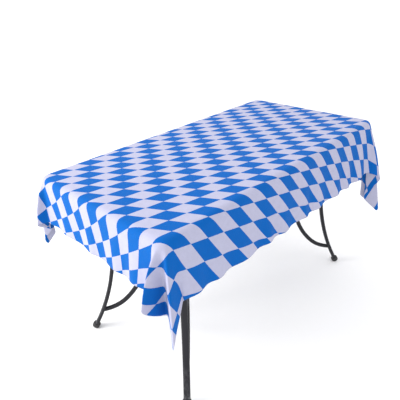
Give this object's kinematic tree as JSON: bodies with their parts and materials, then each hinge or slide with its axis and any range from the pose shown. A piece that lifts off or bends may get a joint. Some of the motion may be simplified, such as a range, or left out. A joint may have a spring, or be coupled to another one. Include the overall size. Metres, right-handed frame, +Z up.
{
  "type": "tablecloth on a table",
  "caption": "Lozenge-printed cloth draped over a small rectangular steel table with flared diagonal legs and curved braces.",
  "frame": {"origin": "on the floor, under the middle of the tabletop", "axes": "+X along the tabletop from its near end to its far end, +Y across it from right to left, +Z up"},
  "size_m": [1.345, 0.7391, 0.739],
  "materials": {
    "printed_cloth": "woven polyester with a blue and white lozenge print",
    "frame_paint": "charcoal powder coat, fine texture, satin",
    "panel_paint": "charcoal powder coat, satin",
    "foot_plastic": "moulded, matt",
    "black_fasteners": "black oxide",
    "zinc_nuts": "zinc plated"
  },
  "bodies": {
    "root": {"rim_tube": "frame_paint", "top_panel": "panel_paint", "near_cross_rail": "frame_paint", "far_cross_rail": "frame_paint", "centre_rail": "frame_paint", "near_left_leg": "frame_paint", "near_left_brace": "frame_paint", "near_left_foot_cap": "foot_plastic", "near_left_leg_plate": "frame_paint", "near_right_leg": "frame_paint", "near_right_brace": "frame_paint", "near_right_foot_cap": "foot_plastic", "near_right_leg_plate": "frame_paint", "far_left_leg": "frame_paint", "far_left_brace": "frame_paint", "far_left_foot_cap": "foot_plastic", "far_left_leg_plate": "frame_paint", "far_right_leg": "frame_paint", "far_right_brace": "frame_paint", "far_right_foot_cap": "foot_plastic", "far_right_leg_plate": "frame_paint", "near_apex_plate": "frame_paint", "far_apex_plate": "frame_paint", "leg_bolts": "black_fasteners", "leg_washers": "black_fasteners", "leg_rivet_nuts": "zinc_nuts", "apex_bolts": "black_fasteners", "apex_washers": "black_fasteners", "apex_rivet_nuts": "zinc_nuts", "tablecloth": "printed_cloth"}
  },
  "joints": []
}
